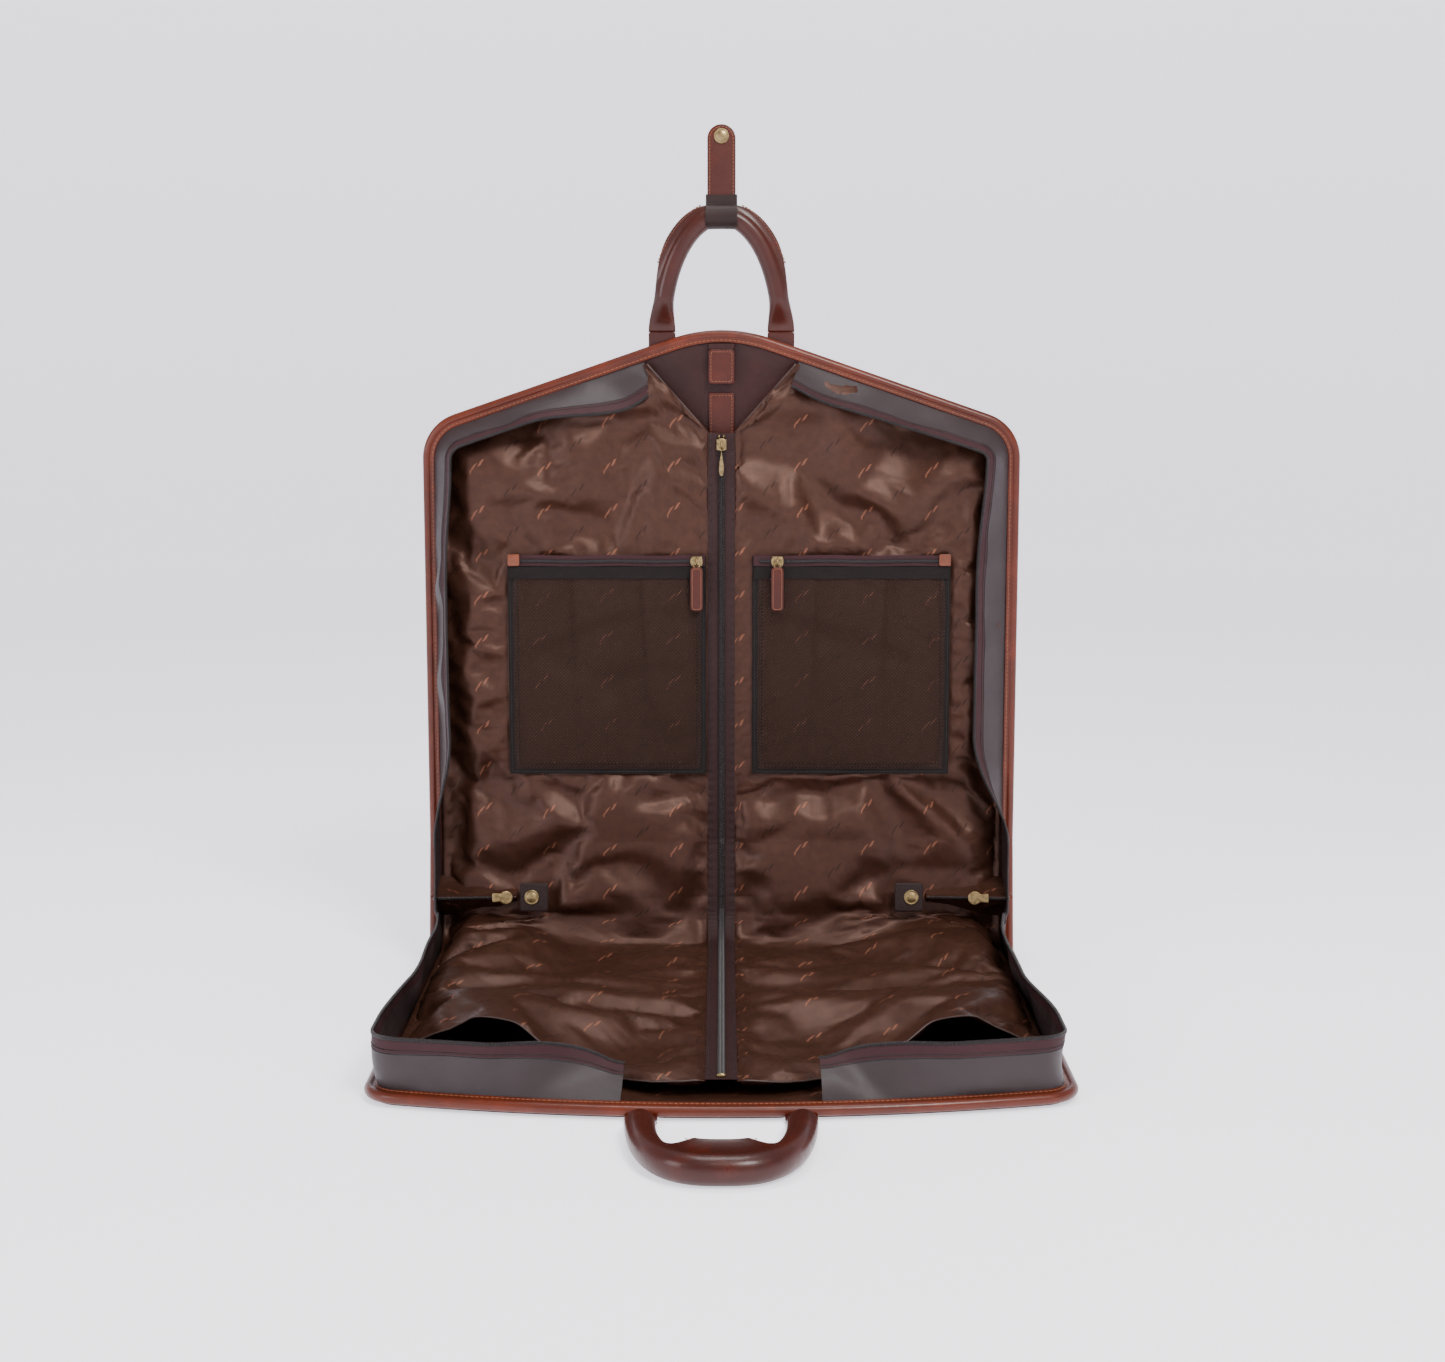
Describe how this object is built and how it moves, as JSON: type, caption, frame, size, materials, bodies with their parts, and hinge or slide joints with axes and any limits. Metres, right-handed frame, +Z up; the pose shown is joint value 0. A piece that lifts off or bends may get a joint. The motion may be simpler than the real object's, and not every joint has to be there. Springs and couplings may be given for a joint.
{
  "type": "garment bag",
  "caption": "Bi-fold leather suit carrier standing open, with zipped side walls, a zipped satin inner curtain, mesh pockets, rolled handles and a hanging strap.",
  "frame": {"origin": "on the underside of the lower cover, midway between the lower fold and the front rim", "axes": "+X to the viewer's right across the bag, +Y back from the front rim to the upright half, +Z up"},
  "size_m": [0.58, 0.6652, 0.8096],
  "materials": {
    "cover_leather": "smooth waxed full-grain leather",
    "handle_leather": "smooth waxed leather, black edges",
    "facing_leather": "dark glazed leather",
    "board": "stiffening board",
    "satin": "jacquard satin",
    "nylon": "coated nylon",
    "zip_tape": "woven zip tape and nylon coil",
    "mesh": "knitted mesh",
    "binding": "ribbed binding tape",
    "brass": "antique brass",
    "rope": "rope core"
  },
  "bodies": {
    "lower_half": {"lower_cover": "cover_leather", "lower_board": "board", "lower_lining": "satin", "lower_piping": "cover_leather", "lower_gusset_left": "nylon", "lower_gusset_right": "nylon", "lower_zip_left": "zip_tape", "lower_zip_right": "zip_tape", "lower_curtain_left": "satin", "lower_curtain_right": "satin", "lower_centre_zip": "zip_tape", "lower_handle_tabs": "handle_leather"},
    "spine": {"spine_cover": "cover_leather", "spine_lining": "satin", "spine_piping": "cover_leather", "spine_curtain": "satin", "spine_centre_zip": "zip_tape", "tuck_left": "nylon", "tuck_right": "nylon", "snap_studs": "brass"},
    "upper_half": {"upper_cover": "cover_leather", "upper_board": "board", "upper_lining": "satin", "upper_piping": "cover_leather", "upper_gusset_left": "nylon", "upper_gusset_right": "nylon", "upper_zip_left": "zip_tape", "upper_zip_right": "zip_tape", "upper_curtain_left": "satin", "upper_curtain_right": "satin", "upper_centre_zip": "zip_tape", "neck_facing": "facing_leather", "clasp_patch": "handle_leather", "pocket_mesh_left": "mesh", "pocket_mesh_right": "mesh", "pocket_binding_left": "binding", "pocket_binding_right": "binding", "pocket_zip_left": "zip_tape", "pocket_zip_right": "zip_tape", "pocket_end_tabs": "handle_leather", "upper_handle_tabs": "handle_leather"},
    "upper_handle": {"upper_handle_leather": "handle_leather", "upper_handle_core": "rope"},
    "lower_handle": {"lower_handle_leather": "handle_leather", "lower_handle_core": "rope"},
    "keeper": {"keeper_strap": "handle_leather", "keeper_snap": "brass"},
    "clasp": {"hanger_clasp": "handle_leather"},
    "centre_slider": {"centre_slider": "brass"},
    "centre_pull": {"centre_pull": "brass"},
    "side_slider_left": {"side_slider_left": "brass"},
    "side_slider_right": {"side_slider_right": "brass"},
    "tab_left": {"tab_left": "facing_leather", "tab_snap_left": "brass"},
    "tab_right": {"tab_right": "facing_leather", "tab_snap_right": "brass"},
    "pocket_slider_left": {"pocket_slider_left": "brass"},
    "pocket_slider_right": {"pocket_slider_right": "brass"},
    "pocket_pull_left": {"pocket_pull_left": "handle_leather"},
    "pocket_pull_right": {"pocket_pull_right": "handle_leather"}
  },
  "joints": [
    {"name": "fold_lower", "type": "hinge", "parent": "lower_half", "child": "spine", "pos_m": [0, 0.245, 0.0042], "axis": [1, 0, 0], "range_deg": [-80, 10]},
    {"name": "fold_upper", "type": "hinge", "parent": "spine", "child": "upper_half", "pos_m": [0, 0.2648, 0.11647], "axis": [1, 0, 0], "range_deg": [-10, 80]},
    {"name": "upper_handle_hinge", "type": "hinge", "parent": "upper_half", "child": "upper_handle", "pos_m": [0, 0.2672, 0.61447], "axis": [1, 0, 0], "range_deg": [-30, 18]},
    {"name": "lower_handle_hinge", "type": "hinge", "parent": "lower_half", "child": "lower_handle", "pos_m": [0, -0.25, 0.0018], "axis": [-1, 0, 0], "range_deg": [-30, 15]},
    {"name": "keeper_swing", "type": "hinge", "parent": "upper_handle", "child": "keeper", "pos_m": [0, 0.2595, 0.72363], "axis": [1, 0, 0], "range_deg": [-110, 110]},
    {"name": "clasp_lift", "type": "hinge", "parent": "upper_half", "child": "clasp", "pos_m": [0, 0.2524, 0.59647], "axis": [-1, 0, 0], "range_deg": [0, 110]},
    {"name": "centre_zip_run", "type": "slide", "parent": "upper_half", "child": "centre_slider", "axis": [0, 0, 1], "range_m": [-0.35, 0]},
    {"name": "centre_pull_swing", "type": "hinge", "parent": "centre_slider", "child": "centre_pull", "pos_m": [0, 0.2341, 0.50747], "axis": [-1, 0, 0], "range_deg": [0, 165]},
    {"name": "side_zip_run_left", "type": "slide", "parent": "spine", "child": "side_slider_left", "axis": [-0.9806, -0.1931, 0.0341], "range_m": [0, 0.036]},
    {"name": "side_zip_run_right", "type": "slide", "parent": "spine", "child": "side_slider_right", "axis": [-0.9806, 0.1931, -0.0341], "range_m": [0, 0.036]},
    {"name": "tab_lift_left", "type": "hinge", "parent": "spine", "child": "tab_left", "pos_m": [-0.1982, 0.22289, 0.06598], "axis": [0, -0.1736, -0.9848], "range_deg": [0, 100]},
    {"name": "tab_lift_right", "type": "hinge", "parent": "spine", "child": "tab_right", "pos_m": [0.1982, 0.22289, 0.06598], "axis": [0, 0.1736, 0.9848], "range_deg": [0, 100]},
    {"name": "pocket_zip_run_left", "type": "slide", "parent": "upper_half", "child": "pocket_slider_left", "axis": [-1, 0, 0], "range_m": [0, 0.16]},
    {"name": "pocket_zip_run_right", "type": "slide", "parent": "upper_half", "child": "pocket_slider_right", "axis": [1, 0, 0], "range_m": [0, 0.145]},
    {"name": "pocket_pull_swing_left", "type": "hinge", "parent": "pocket_slider_left", "child": "pocket_pull_left", "pos_m": [-0.024, 0.2303, 0.39547], "axis": [-1, 0, 0], "range_deg": [0, 165]},
    {"name": "pocket_pull_swing_right", "type": "hinge", "parent": "pocket_slider_right", "child": "pocket_pull_right", "pos_m": [0.054, 0.2303, 0.39547], "axis": [-1, 0, 0], "range_deg": [0, 165]}
  ]
}
